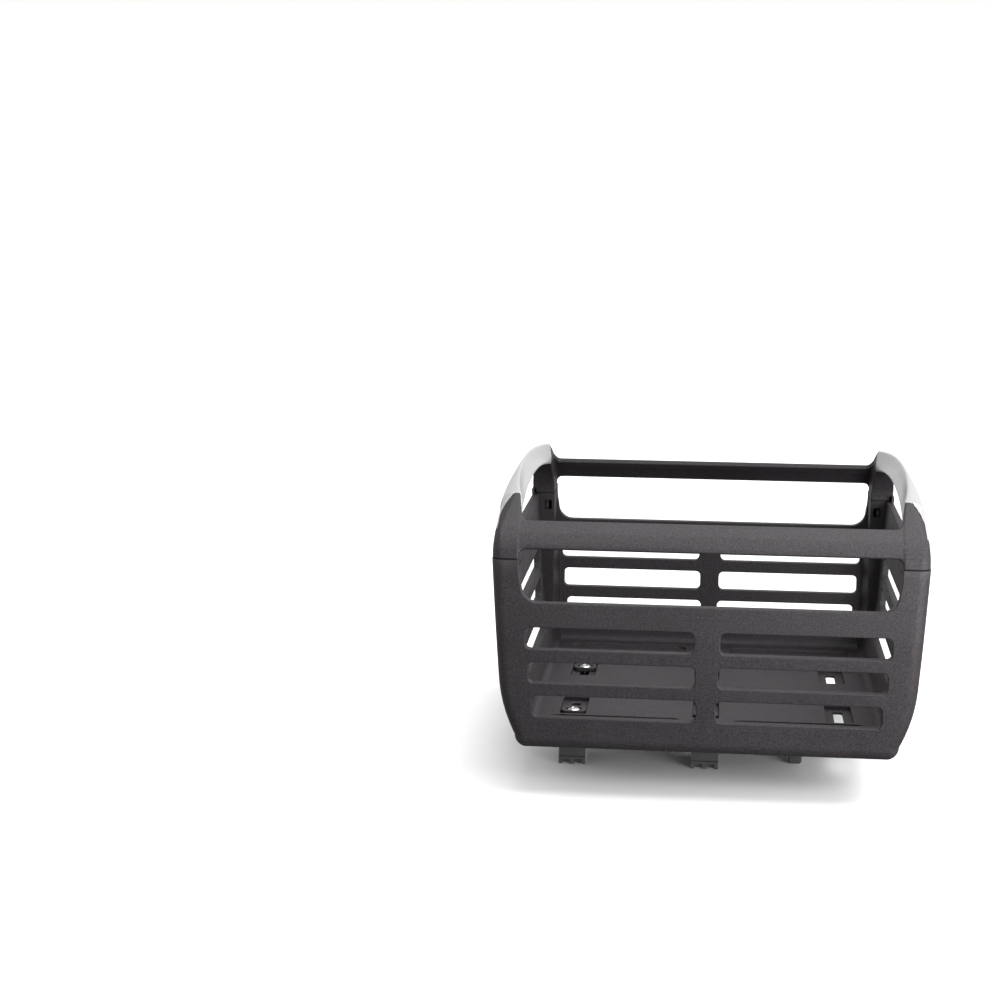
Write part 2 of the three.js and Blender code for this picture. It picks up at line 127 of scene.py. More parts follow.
# ---------------------------------------------------------------- mesh helpers
class Skin:
    """Collects vertices and faces in millimetres and makes one smooth-shaded object."""

    def __init__(self):
        self.verts = []
        self.faces = []

    def add(self, points):
        base = len(self.verts)
        self.verts.extend(points)
        return list(range(base, base + len(points)))

    def band(self, rows, closed=False, flip=False):
        ids = [self.add(row) for row in rows]
        count = len(rows[0])
        for upper, lower in zip(ids, ids[1:]):
            for i in range(count if closed else count - 1):
                j = (i + 1) % count
                face = [upper[i], upper[j], lower[j], lower[i]]
                self.faces.append(face[::-1] if flip else face)

    def cap(self, ring, flip=False):
        ids = self.add(ring)
        self.faces.append(ids[::-1] if flip else ids)

    def fill(self, outer, holes, place, spacing=None, flip=False):
        """Fills the plan region between loops, bending it with place(u, v)."""
        loops = [outer] + holes
        coords, edges = [], []
        for loop in loops:
            base = len(coords)
            coords += [Vector(p) for p in loop]
            edges += [(base + i, base + (i + 1) % len(loop)) for i in range(len(loop))]
        if spacing:
            us = [p[0] for p in outer]
            vs = [p[1] for p in outer]
            nu = max(1, round((max(us) - min(us)) / spacing))
            nv = max(1, round((max(vs) - min(vs)) / spacing))
            for i in range(1, nu):
                for j in range(1, nv):
                    u = min(us) + (max(us) - min(us)) * i / nu
                    v = min(vs) + (max(vs) - min(vs)) * j / nv
                    if not inside(outer, u, v) or any(inside(h, u, v) for h in holes):
                        continue
                    if min(clearance(loop, u, v) for loop in loops) > 0.4 * spacing:
                        coords.append(Vector((u, v)))
        made = delaunay_2d_cdt(coords, edges, [], 0, 1e-4)
        points = [place(p[0], p[1]) for p in made[0]]
        ids = self.add(points)
        for tri in made[2]:
            cu = sum(made[0][i][0] for i in tri) / 3
            cv = sum(made[0][i][1] for i in tri) / 3
            if inside(outer, cu, cv) and not any(inside(h, cu, cv) for h in holes):
                face = [ids[i] for i in tri]
                self.faces.append(face[::-1] if flip else face)

    def make(self, name, weld=0.004, sharp=40):
        mesh = bpy.data.meshes.new(name)
        lifted = [(x / 1000, y / 1000, (z + STAND) / 1000) for x, y, z in self.verts]
        mesh.from_pydata(lifted, [], self.faces)
        obj = bpy.data.objects.new(name, mesh)
        bpy.context.scene.collection.objects.link(obj)
        clean(obj, weld / 1000)
        mesh.shade_smooth()
        mesh.set_sharp_from_angle(angle=math.radians(sharp))
        weights = obj.modifiers.new("Weighted", "WEIGHTED_NORMAL")
        weights.keep_sharp = True
        weights.weight = 80
        return obj


def clean(obj, weld):
    bm = bmesh.new()
    bm.from_mesh(obj.data)
    bmesh.ops.remove_doubles(bm, verts=bm.verts, dist=weld)
    bmesh.ops.dissolve_degenerate(bm, dist=1e-6, edges=bm.edges)
    bmesh.ops.recalc_face_normals(bm, faces=bm.faces)
    bm.to_mesh(obj.data)
    bm.free()


def inside(loop, u, v):
    hit = False
    for (a, b), (c, d) in zip(loop, loop[1:] + loop[:1]):
        if (b > v) != (d > v) and u < (c - a) * (v - b) / (d - b) + a:
            hit = not hit
    return hit


def clearance(loop, u, v):
    best = 1e9
    for (a, b), (c, d) in zip(loop, loop[1:] + loop[:1]):
        du, dv = c - a, d - b
        length = du * du + dv * dv
        t = 0.0 if length == 0 else max(0.0, min(1.0, ((u - a) * du + (v - b) * dv) / length))
        best = min(best, math.hypot(a + t * du - u, b + t * dv - v))
    return best


def rounded_rect(u0, u1, v0, v1, r, steps=6, along=14.0):
    """Counter-clockwise loop with extra points on its long sides."""
    centres = [
        (u1 - r, v0 + r, -90),
        (u1 - r, v1 - r, 0),
        (u0 + r, v1 - r, 90),
        (u0 + r, v0 + r, 180),
    ]
    loop = []
    for cu, cv, start in centres:
        arc = []
        for i in range(steps + 1):
            a = math.radians(start + 90 * i / steps)
            arc.append((cu + r * math.cos(a), cv + r * math.sin(a)))
        if loop:
            loop += between(loop[-1], arc[0], along)
        loop += arc
    return loop + between(loop[-1], loop[0], along)


def between(a, b, along):
    count = int(math.hypot(b[0] - a[0], b[1] - a[1]) // along)
    return [
        (a[0] + (b[0] - a[0]) * i / (count + 1), a[1] + (b[1] - a[1]) * i / (count + 1))
        for i in range(1, count + 1)
    ]


def grow(points, d, closed=True):
    """Moves a counter-clockwise loop, or an open line, outwards by d."""
    out = []
    count = len(points)
    for i, (u, v) in enumerate(points):
        before = points[i - 1] if closed or i else points[i]
        after = points[(i + 1) % count] if closed or i + 1 < count else points[i]
        tu, tv = after[0] - before[0], after[1] - before[1]
        size = math.hypot(tu, tv) or 1.0
        out.append((u + d * tv / size, v - d * tu / size))
    return out


def edge_path(thickness, r_out, r_in, steps=4):
    """(outward growth, depth) pairs that round a hole's two edges."""
    path = []
    for i in range(steps + 1):
        a = math.radians(90 * i / steps)
        path.append((r_out * (1 - math.sin(a)), r_out * (1 - math.cos(a))))
    for i in range(steps + 1):
        a = math.radians(90 * i / steps)
        path.append((r_in * (1 - math.cos(a)), thickness - r_in * (1 - math.sin(a))))
    return path


def spline(keys, t):
    """Catmull-Rom through a list of equal-length tuples, t from 0 to len(keys) - 1."""
    i = min(int(t), len(keys) - 2)
    f = t - i
    a = keys[max(i - 1, 0)]
    b, c = keys[i], keys[i + 1]
    d = keys[min(i + 2, len(keys) - 1)]
    return tuple(
        0.5 * (2 * q + (r - p) * f + (2 * p - 5 * q + 4 * r - s) * f * f + (3 * q - p - 3 * r + s) * f**3)
        for p, q, r, s in zip(a, b, c, d)
    )


# ---------------------------------------------------------------- tub walls
SIDE_FRACTIONS = [i / 12 - 1 for i in range(25)]
END_FRACTIONS = [i / 14 - 1 for i in range(29)]
CORNER_STEPS = 7


def corner_x(h):
    return end_at(h) - CORNER


def corner_y(h):
    return side_at(h) - CORNER


def perimeter(h, inset_x, inset_y, shift=None):
    """Closed loop round the tub at height h, matching the wall panels' edges."""
    z = h if shift is None else shift
    loop = []
    cx, cy = corner_x(h), corner_y(h)
    rx, ry = CORNER - inset_x, CORNER - inset_y
    quarters = [(1, -1, -90), (1, 1, 0), (-1, 1, 90), (-1, -1, 180)]
    straights = [
        [(f * cx, -(cy + ry)) for f in SIDE_FRACTIONS],
        [(cx + rx, f * cy) for f in END_FRACTIONS],
        [(-f * cx, cy + ry) for f in SIDE_FRACTIONS],
        [(-(cx + rx), -f * cy) for f in END_FRACTIONS],
    ]
    for straight, (sx, sy, start) in zip(straights, quarters):
        loop += straight[:-1]
        for i in range(CORNER_STEPS):
            a = math.radians(start + 90 * i / CORNER_STEPS)
            loop.append((sx * cx + rx * math.cos(a), sy * cy + ry * math.sin(a)))
    return [(x, y, z) for x, y in loop]


SEAM_HEIGHTS = [WALL_FOOT + (SEAM_IN - WALL_FOOT) * i / 27 for i in range(28)] + [SEAM_OUT]


def side_opening():
    """The large opening's edge from its top left, down and round to its top right."""
    right = [(OPENING_HALF, SEAM_OUT), (OPENING_HALF, SEAM_IN)]
    right += [(143.9, 141.5), (143.5, 137.5), (142.6, 133.5)]
    centre_x, centre_y, r = 129.4, BAND_TOP + 13.0, 13.0
    arc = [
        (centre_x + r * math.cos(math.radians(a)), centre_y + r * math.sin(math.radians(a)))
        for a in range(-5, -91, -9)
    ]
    arc[-1] = (centre_x, BAND_TOP)
    half = right + arc
    base = between(half[-1], (-half[-1][0], BAND_TOP), RIM_SPACING)
    return [(-x, h) for x, h in half] + base[::-1] + half[::-1]


def side_wall(skin, sign):
    flip = sign > 0
    slots = []
    for low, high, reach, _, pillar in ROWS:
        slots.append(rounded_rect(pillar, reach, low, high, SLOT_CORNER))
        slots.append(rounded_rect(-reach, -pillar, low, high, SLOT_CORNER))

    def at(t):
        return lambda x, h: (x, sign * (side_at(h) - t), h)

    opening = side_opening()
    for depth in (0.0, SIDE_WALL):
        top = SEAM_OUT if depth == 0 else SEAM_IN
        edge = grow(opening, EDGE_R, closed=False)
        edge[0], edge[-1] = (-OPENING_HALF - EDGE_R, top), (OPENING_HALF + EDGE_R, top)
        if depth:
            edge = [edge[0]] + [p for p in edge[1:-1] if p[1] < top - 0.2] + [edge[-1]]
        heights = [h for h in SEAM_HEIGHTS if h <= top + 0.01]
        foot = [(f * corner_x(WALL_FOOT), WALL_FOOT) for f in SIDE_FRACTIONS]
        right = [(corner_x(h), h) for h in heights[1:]]
        left = [(-corner_x(h), h) for h in reversed(heights[1:])]
        outline = foot + right + edge[::-1] + left
        holes = [grow(s, EDGE_R) for s in slots]
        skin.fill(outline, holes, at(depth), MESH_SPACING, flip ^ (depth > 0))
    for slot in slots:
        rows = []
        for growth, depth in edge_path(SIDE_WALL, EDGE_R, EDGE_R):
            loop = grow(slot, growth)
            rows.append([at(depth)(x, h) for x, h in loop])
        skin.band(rows, closed=True, flip=flip)
    rows = []
    for growth, depth in edge_path(SIDE_WALL, EDGE_R, EDGE_R):
        top = SEAM_OUT if depth <= LIP else SEAM_IN
        line = grow(opening, growth, closed=False)
        line[0], line[-1] = (-OPENING_HALF - growth, top), (OPENING_HALF + growth, top)
        kept = [(x, min(h, SEAM_IN)) for x, h in line[1:-1]]
        rows.append([at(depth)(x, h) for x, h in [line[0]] + kept + [line[-1]]])
    skin.band(rows, flip=not flip)


def end_wall(skin, sign):
    flip = sign < 0
    slots = []
    for low, high, _, reach, _ in ROWS:
        slots.append(rounded_rect(-reach, reach, low, high, SLOT_CORNER))

    def at(t):
        return lambda y, h: (sign * (end_at(h) - t), y, h)

    for depth in (0.0, END_WALL):
        top = SEAM_OUT if depth == 0 else SEAM_IN
        heights = [h for h in SEAM_HEIGHTS if h <= top + 0.01]
        foot = [(f * corner_y(WALL_FOOT), WALL_FOOT) for f in END_FRACTIONS]
        right = [(corner_y(h), h) for h in heights[1:]]
        left = [(-corner_y(h), h) for h in reversed(heights[1:])]
        rim_h = SEAM_IN - EDGE_R
        rim = [(HAND_HALF, top), (HAND_HALF, rim_h)]
        rim += between((HAND_HALF, rim_h), (-HAND_HALF, rim_h), RIM_SPACING)
        rim += [(-HAND_HALF, rim_h), (-HAND_HALF, top)]
        holes = [grow(s, EDGE_R) for s in slots]
        skin.fill(foot + right + rim + left, holes, at(depth), MESH_SPACING, flip ^ (depth > 0))
    for slot in slots:
        rows = []
        for growth, depth in edge_path(END_WALL, EDGE_R, EDGE_R):
            rows.append([at(depth)(y, h) for y, h in grow(slot, growth)])
        skin.band(rows, closed=True, flip=flip)
    rim = [(-HAND_HALF, 0)] + between((-HAND_HALF, 0), (HAND_HALF, 0), RIM_SPACING) + [(HAND_HALF, 0)]
    rows = [[at(d)(y, SEAM_IN - g) for y, _ in rim] for g, d in edge_path(END_WALL, EDGE_R, EDGE_R)]
    skin.band(rows, flip=not flip)
    for side in (-1, 1):
        step = [(0.0, SEAM_OUT), (LIP, SEAM_OUT), (LIP, SEAM_IN), (END_WALL, SEAM_IN)]
        low = [at(d)(side * HAND_HALF, SEAM_IN - EDGE_R) for d, _ in step]
        high = [at(d)(side * HAND_HALF, h) for d, h in step]
        skin.band([low, high], flip=flip ^ (side > 0))


def corners(skin):
    for sx in (-1, 1):
        for sy in (-1, 1):
            for outer in (True, False):
                tx = 0.0 if outer else END_WALL
                ty = 0.0 if outer else SIDE_WALL
                top = SEAM_OUT if outer else SEAM_IN
                rows = []
                for h in [q for q in SEAM_HEIGHTS if q <= top + 0.01]:
                    row = []
                    for i in range(CORNER_STEPS + 1):
                        a = math.radians(90 * i / CORNER_STEPS)
                        x = corner_x(h) + (CORNER - tx) * math.cos(a)
                        y = corner_y(h) + (CORNER - ty) * math.sin(a)
                        row.append((sx * x, sy * y, h))
                    rows.append(row)
                skin.band(rows, flip=(sx * sy < 0) ^ (not outer))


def seam_tops(skin):
    """The lip, the step behind it and the inner rim, from each opening round its corner."""
    path = [
        (0.0, 0.0, SEAM_OUT),
        (LIP, LIP, SEAM_OUT),
        (LIP, LIP, SEAM_IN),
        (END_WALL, SIDE_WALL, SEAM_IN),
    ]
    for sx in (-1, 1):
        for sy in (-1, 1):
            rows = []
            for tx, ty, h in path:
                cx, cy = corner_x(SEAM_OUT), corner_y(SEAM_OUT)
                row = [(sx * (OPENING_HALF + EDGE_R), sy * (cy + CORNER - ty), h)]
                for i in range(CORNER_STEPS + 1):
                    a = math.radians(90 - 90 * i / CORNER_STEPS)
                    x = cx + (CORNER - tx) * math.cos(a)
                    y = cy + (CORNER - ty) * math.sin(a)
                    row.append((sx * x, sy * y, h))
                row.append((sx * (cx + CORNER - tx), sy * HAND_HALF, h))
                rows.append(row)
            skin.band(rows, flip=sx * sy > 0)


def tub_bottom(skin):
    """Rounded lower edge outside, floor fillet inside."""
    rows = [perimeter(WALL_FOOT, 0, 0)]
    r = 10.5
    for i in range(9):
        a = math.radians(90 * i / 8)
        inset = r * (1 - math.cos(a))
        rows.append(perimeter(r, inset, inset, r - r * math.sin(a)))
    skin.band(rows, closed=True)
    rim = rows[-1]
    inner = [perimeter(WALL_FOOT, END_WALL, SIDE_WALL)]
    r = WALL_FOOT - FLOOR_TOP
    for i in range(1, 7):
        a = math.radians(90 * i / 6)
        inset = r * (1 - math.cos(a))
        height = WALL_FOOT - r * math.sin(a)
        inner.append(perimeter(WALL_FOOT, END_WALL + inset, SIDE_WALL + inset, height))
    skin.band(inner, closed=True, flip=True)
    return [p[:2] for p in rim], [p[:2] for p in inner[-1]]


def floor(skin, rim, floor_edge):
    recesses, pockets, slots, trays = [], [], [], []
    for side in (-1, 1):
        a, b = sorted((side * RECESS_NEAR_X, side * MIDDLE_RECESS_FAR_X))
        half = MIDDLE_RECESS_HALF_Y
        recesses.append(rounded_rect(a, b, -half, half, 6, along=STRAIGHT))
        a, b = sorted((side * RECESS_NEAR_X, side * OUTER_RECESS_FAR_X))
        for end in (-1, 1):
            c, d = sorted(end * y for y in OUTER_RECESS_Y)
            recesses.append(rounded_rect(a, b, c, d, 9, along=STRAIGHT))
    for x in (-CLAMP_X, 0, CLAMP_X):
        for side in (-1, 1):
            c, d = sorted(side * y for y in POCKET_Y)
            pockets.append(
                rounded_rect(x - POCKET_HALF_X, x + POCKET_HALF_X, c, d, 1.5, along=STRAIGHT)
            )
            c, d = c - TRAY_MARGIN, d + TRAY_MARGIN
            trays.append(rounded_rect(x - TRAY_HALF_X, x + TRAY_HALF_X, c, d, 3, along=STRAIGHT))
            c, d = sorted(side * y for y in SLOT_Y)
            slots.append(rounded_rect(x - SLOT_HALF_X, x + SLOT_HALF_X, c, d, 3.8, along=STRAIGHT))

    def flat(z):
        return lambda x, y: (x, y, z)

    soft = 0.7
    skin.fill(floor_edge, [grow(l, soft) for l in recesses + pockets], flat(FLOOR_TOP))
    for loops, bottom in ((recesses, RECESS), (pockets, POCKET_FLOOR)):
        for loop in loops:
            rows = []
            for i in range(4):
                a = math.radians(30 * i)
                line = grow(loop, soft * (1 - math.sin(a)))
                rows.append([(x, y, FLOOR_TOP - soft * (1 - math.cos(a))) for x, y in line])
            for i in range(4):
                a = math.radians(30 * i)
                line = grow(loop, -soft * (1 - math.cos(a)))
                rows.append([(x, y, bottom + soft * (1 - math.sin(a))) for x, y in line])
            skin.band(rows, closed=True, flip=True)
    for loop in recesses:
        skin.fill(grow(loop, -soft), [], flat(RECESS))
    for pocket, slot, tray in zip(pockets, slots, trays):
        skin.fill(grow(pocket, -soft), [grow(slot, 0.5)], flat(POCKET_FLOOR))
        rows = [[(x, y, POCKET_FLOOR) for x, y in grow(slot, 0.5)]]
        rows += [[(x, y, z) for x, y in slot] for z in (POCKET_FLOOR - 0.5, TRAY_UNDER + 0.5)]
        rows.append([(x, y, TRAY_UNDER) for x, y in grow(slot, 0.5)])
        skin.band(rows, closed=True, flip=True)
        skin.fill(grow(tray, -0.5), [grow(slot, 0.5)], flat(TRAY_UNDER), flip=True)
        rows = [[(x, y, 0.0) for x, y in tray], [(x, y, TRAY_UNDER + 0.5) for x, y in tray]]
        rows.append([(x, y, TRAY_UNDER) for x, y in grow(tray, -0.5)])
        skin.band(rows, closed=True)
    skin.fill(rim, trays, flat(0.0), flip=True)


def column(skin, sx, sy):
    """Hollow corner column inside the tub: slanted flank, front face and the latch window in it."""
    flip = sx * sy > 0
    half_x, half_h = 3.2, 4.3
    window = rounded_rect(
        WINDOW_X - half_x, WINDOW_X + half_x, WINDOW_H - half_h, WINDOW_H + half_h, 1.0, along=STRAIGHT
    )
    bottom, top = FLOOR_TOP - 1, SEAM_IN
    heights = [bottom + (top - bottom) * i / 40 for i in range(41)]

    def bounded(x, h):
        return min(x, end_at(h) - END_WALL + 1.5)

    rows = []
    for h in heights:
        wall_y = side_at(h) - SIDE_WALL + 0.5
        below = max(0.0, min(1.0, (BAND_TOP - 2 - h) / 6))
        fillet = 2.2 * below
        climb = (h - FLOOR_TOP) / (BAND_TOP - FLOOR_TOP)
        lower_root = COLUMN_ROOT_FLOOR + (COLUMN_ROOT_BAND - COLUMN_ROOT_FLOOR) * climb
        root = COLUMN_ROOT + (lower_root - COLUMN_ROOT) * below
        plan = []
        for i in range(5):
            a = math.radians(90 * i / 4)
            plan.append((root - fillet * (1 - math.sin(a)), wall_y - 0.5 - fillet * (1 - math.cos(a))))
        plan[0] = (plan[0][0], wall_y)
        for i in range(1, 5):
            x = root + (COLUMN_EDGE - root) * i / 5
            plan.append((x, wall_y - 3 + (COLUMN_FACE + 3 - wall_y) * i / 5))
        plan += [(COLUMN_EDGE - 0.15, COLUMN_FACE + 0.6), (COLUMN_EDGE + 0.1, COLUMN_FACE + 0.15)]
        plan.append((COLUMN_EDGE + 0.55, COLUMN_FACE))
        rows.append([(sx * bounded(x, h), sy * y, h) for x, y in plan])
    skin.band(rows, flip=flip)

    def at(depth):
        return lambda x, h: (sx * bounded(x, h), sy * (COLUMN_FACE + depth), h)

    far = [(160.5, h) for h in heights]
    near = [(COLUMN_EDGE + 0.55, h) for h in heights]
    outline = between(near[0], far[0], 2.0)
    outline = [near[0]] + outline + far + between(far[-1], near[-1], 2.0) + near[:0:-1]
    soft = 0.5
    skin.fill(outline, [grow(window, soft)], at(0.0), flip=not flip)
    rows = []
    for growth, depth in edge_path(2.6, soft, 0.2):
        rows.append([at(depth)(x, h) for x, h in grow(window, growth)])
    skin.band(rows, closed=True, flip=not flip)


tub_skin = Skin()
for way in (-1, 1):
    side_wall(tub_skin, way)
    end_wall(tub_skin, way)
corners(tub_skin)
seam_tops(tub_skin)
outer_rim, inner_rim = tub_bottom(tub_skin)
floor(tub_skin, outer_rim, inner_rim)
tub = tub_skin.make("tub_moulding")
column_skin = Skin()
for way_x in (-1, 1):
    for way_y in (-1, 1):
        column(column_skin, way_x, way_y)
columns = column_skin.make("tub_corner_columns")

# ---------------------------------------------------------------- rail frames and handles
# Stations along a horn, from the seam up to its tip: outer and inner edge of the section in (distance
# from the middle, height), its near flank at both edges, its end face and the crease beside the corner.
HORN = [
    # outer y, outer h, inner y, inner h, flank out, flank in, end face, crease, depth, angle
    (189.9, 146.3, 161.0, 146.3, 144.5, 145.0, 164.9, 157.4, 8.0, 14),
    (189.0, 152.6, 160.6, 150.5, 144.5, 145.0, 165.1, 157.9, 8.0, 14),
    (186.4, 161.0, 158.8, 157.0, 144.4, 145.4, 165.1, 158.8, 8.0, 24),
    (178.5, 170.6, 155.0, 164.0, 144.4, 146.0, 164.6, 159.8, 8.0, 36),
    (167.0, 179.3, 150.0, 169.6, 144.7, 146.6, 163.9, 158.0, 8.0, 44),
    (154.0, 187.5, 144.8, 173.6, 146.1, 146.8, 163.3, 154.4, 8.0, 46),
    (139.6, 195.4, 139.6, 176.8, 147.9, 146.8, 162.6, 151.6, 8.0, 46),
]
# The silver strip's edge as (height, x), and the rail's outer side as (height, y).
HORN_EDGE = [(170.0, 164.2), (174.0, 163.6), (179.0, 162.7), (184.8, 161.2), (190.7, 157.9), (195.6, 153.4)]
OUTER_CURVE = [(140.0, 189.9), (151.0, 188.9), (160.0, 186.3), (170.5, 178.5), (179.0, 167.0), (187.5, 154.0)]
STRIP_START = 3.25  # station where the silver strip begins
STRIP_DEPTH = 2.2
HORN_TIP = 6.0
FRAME_VOXEL = 0.5
HANDLE_VOXEL = 0.45
KEPT_FACES = 0.3  # share of the fused faces that the decimation keeps
HANDLE_HALF = 139.2
RAIL_TOP = 179.0
RAIL_LOW = 160.0
SEAM_GAP = 0.45


def table(keys, value):
    """Smooth interpolation of (position, result) pairs."""
    if value <= keys[0][0]:
        return keys[0][1]
    if value >= keys[-1][0]:
        return keys[-1][1]
    i = max(k for k in range(len(keys) - 1) if keys[k][0] <= value)
    t = i + (value - keys[i][0]) / (keys[i + 1][0] - keys[i][0])
    return spline([(k[1],) for k in keys], t)[0]


def round_corners(points, steps=4):
    """Polygon of (u, v, radius) corners, each turned into a short curve."""
    out = []
    for i, (u, v, r) in enumerate(points):
        if r == 0:
            out.append((u, v))
            continue
        ends = []
        for other in (points[i - 1], points[(i + 1) % len(points)]):
            du, dv = other[0] - u, other[1] - v
            size = math.hypot(du, dv)
            reach = min(r, 0.45 * size) / size
            ends.append((u + du * reach, v + dv * reach))
        (au, av), (bu, bv) = ends
        for k in range(steps + 1):
            s = k / steps
            out.append(
                (
                    (1 - s) ** 2 * au + 2 * s * (1 - s) * u + s * s * bu,
                    (1 - s) ** 2 * av + 2 * s * (1 - s) * v + s * s * bv,
                )
            )
    return out


def horn_section(t, plug=0.0):
    """Section points (x, y, h) of a right-hand, far-side horn at station t."""
    oy, oh, iy, ih, flank_out, flank_in, end, crease, drop, angle = spline(HORN, t)
    depth = math.hypot(oy - iy, oh - ih)
    across = ((oy - iy) / depth, (oh - ih) / depth)
    top = depth - plug
    end -= plug
    start_angle = math.radians(angle)
    polygon = [(end, 0.0, 1.0), (flank_in, 0.0, 1.2), (flank_out, top, 1.6), (crease, top, 0.0)]
    for i in range(1, 8):
        a = start_angle + (math.pi / 2 - start_angle) * i / 7
        along = (math.sin(a) - math.sin(start_angle)) / (1 - math.sin(start_angle))
        down = (math.cos(start_angle) - math.cos(a)) / math.cos(start_angle)
        polygon.append((crease + (end - crease) * along, top - drop * down, 0.0))
    return [(x, iy + across[0] * rise, ih + across[1] * rise) for x, rise in round_corners(polygon)]


def silver_line(t):
    """X of the joint between the horn and the silver strip that covers its outer side."""
    station = spline(HORN, t)
    return min(table(HORN_EDGE, station[1]), station[6] - STRIP_DEPTH)


def horn(skin, sx, sy, first, last, steps, plug=0.0, part="whole"):
    """One stretch of a horn: the whole section, or the part inside or outside the silver line."""
    rows = []
    for k in range(steps + 1):
        t = first + (last - first) * k / steps
        row = []
        for x, y, h in horn_section(t, plug):
            if part == "outside":
                x = max(x, silver_line(t) + 0.35)
            elif part == "inside":
                x = min(x, silver_line(t))
            row.append((sx * x, sy * y, h))
        rows.append(row)
    if part == "outside":
        rows.append([(x, y - 1.6 * sy, h + 0.5) for x, y, h in rows[-1]])
    skin.band(rows, closed=True)
    skin.cap(rows[0])
    skin.cap(rows[-1], flip=True)


def rail(skin, sy):
    """Upper rail between two horns: a curved plate with a bead along its top, flared at both ends."""
    rows = []
    flare_top, flare_low, reach = 4.6, 5.2, 144.6
    for k in range(-60, 61):
        x = k / 60 * 147.5 if abs(k) < 48 else math.copysign(118 + (abs(k) - 48) / 12 * 29.5, k)
        rise = max(0.0, abs(x) - (reach - flare_top))
        fall = max(0.0, abs(x) - (reach - flare_low))
        high = RAIL_TOP + (flare_top - math.sqrt(max(0.0, flare_top**2 - min(rise, flare_top) ** 2)))
        low = RAIL_LOW - (flare_low - math.sqrt(max(0.0, flare_low**2 - min(fall, flare_low) ** 2)))
        outer, inner = [], []
        for i in range(17):
            h = low + (high - low) * i / 16
            ahead = table(OUTER_CURVE, h + 0.5)
            behind = table(OUTER_CURVE, h - 0.5)
            tangent = math.hypot(ahead - behind, 1.0)
            normal = (1.0 / tangent, (behind - ahead) / tangent)
            thick = 5.2 if h > RAIL_TOP - 5.8 else 3.2
            y = table(OUTER_CURVE, h)
            soft = 0.9 * (max(0.0, 1 - (high - h) / 1.6) ** 2 + max(0.0, 1 - (h - low) / 2.4) ** 2)
            outer.append((x, sy * (y - soft * normal[0]), h - soft * normal[1]))
            inner.append((x, sy * (y - thick * normal[0]), h - thick * normal[1]))
        rows.append(outer + inner[::-1])
    skin.band(rows, closed=True)
    skin.cap(rows[0])
    skin.cap(rows[-1], flip=True)


def block(skin, x0, x1, y0, y1, z0, z1):
    low = [(x0, y0, z0), (x1, y0, z0), (x1, y1, z0), (x0, y1, z0)]
    high = [(x, y, z1) for x, y, _ in low]
    skin.band([low, high], closed=True)
    skin.cap(low, flip=True)
    skin.cap(high)


def latch(skin, sx, sy):
    """Tongue that reaches down inside the column, with its hook behind the window."""
    tongue = (150.3, 153.7, 164.1, 166.0, 122, 150)
    root = (150.3, 153.7, 161.4, 166.0, 146.4, 150)
    hook = (150.5, 153.5, 162.0, 164.5, 131.9, 136.5)
    for x0, x1, y0, y1, z0, z1 in (tongue, root, hook):
        block(skin, *sorted((sx * x0, sx * x1)), *sorted((sy * y0, sy * y1)), z0, z1)


def fuse(skin, name, voxel):
    """Melts overlapping closed shapes into one skin with softly rounded edges."""
    obj = skin.make(name + "_parts")
    obj.modifiers.clear()
    bm = bmesh.new()
    bm.from_mesh(obj.data)
    bmesh.ops.recalc_face_normals(bm, faces=bm.faces)
    bm.to_mesh(obj.data)
    bm.free()
    melt = obj.modifiers.new("Melt", "REMESH")
    melt.mode = "VOXEL"
    melt.voxel_size = voxel / 1000
    soften = obj.modifiers.new("Soften", "SMOOTH")
    soften.factor = 0.5
    soften.iterations = 4
    reduce = obj.modifiers.new("Reduce", "DECIMATE")
    reduce.ratio = KEPT_FACES
    bpy.context.view_layer.update()
    made = obj.evaluated_get(bpy.context.evaluated_depsgraph_get())
    mesh = bpy.data.meshes.new_from_object(made)
    mesh.name = name
    result = bpy.data.objects.new(name, mesh)
    bpy.context.scene.collection.objects.link(result)
    bpy.data.objects.remove(obj)
    mesh.shade_smooth()
    return result


def rail_frame(name, sy):
    skin = Skin()
    seam = 0.98 + SEAM_GAP / 6.3
    for sx in (-1, 1):
        horn(skin, sx, sy, seam - 0.13, STRIP_START, 30)
        horn(skin, sx, sy, STRIP_START - 0.4, HORN_TIP, 40, part="inside")
        horn(skin, sx, sy, 0.03, 1.5, 10, plug=LIP + 0.4)
        latch(skin, sx, sy)
    rail(skin, sy)
    return fuse(skin, name, FRAME_VOXEL)


# Handle sections follow t, from 0 at the middle to 1 at the horns.
def handle_section(t):
    low_x, low_h = 149.8 - 3.1 * t**2, 188.3 - 11.5 * t**2
    crease_x, crease_h = 154.5 - 8.0 * t**2, 197.2 - 14 * t**1.3
    crown_x, crown_h = 157.0 - 9.2 * t**2.4, 203 - 7.6 * t**2
    shoulder_x = 160.3 - 2.8 * t**4
    shoulder_h = 200.6 - 6.6 * t**2
    wide = 165.1 - 0.9 * t**2
    drop_h = 191.5 - 5.0 * t**3
    foot_h = 184.2 - 8.6 * t**2
    return round_corners([
        (low_x, low_h, 1.4), (crease_x, crease_h, 2.5), (crown_x, crown_h, 1.3),
        (crown_x + 1.6 + 2.6 * t**3, crown_h, 1.2), (shoulder_x, shoulder_h, 2.5),
        (wide - 1.4, drop_h + 3.5, 4.0), (wide, drop_h - 2.5, 3.0),
        (wide, foot_h + 1.0, 1.6), (wide - 3.5, foot_h - 0.6, 1.5),
    ])


def handle(name, sx):
    skin = Skin()
    rows = []
    for k in range(-80, 81):
        t = k / 80
        rows.append([(sx * x, HANDLE_HALF * t, h) for x, h in handle_section(abs(t))])
    skin.band(rows, closed=True)
    skin.cap(rows[0])
    skin.cap(rows[-1], flip=True)
    for sy in (-1, 1):
        horn(skin, sx, sy, STRIP_START + 0.03, HORN_TIP, 36, part="outside")
    return fuse(skin, name, HANDLE_VOXEL)


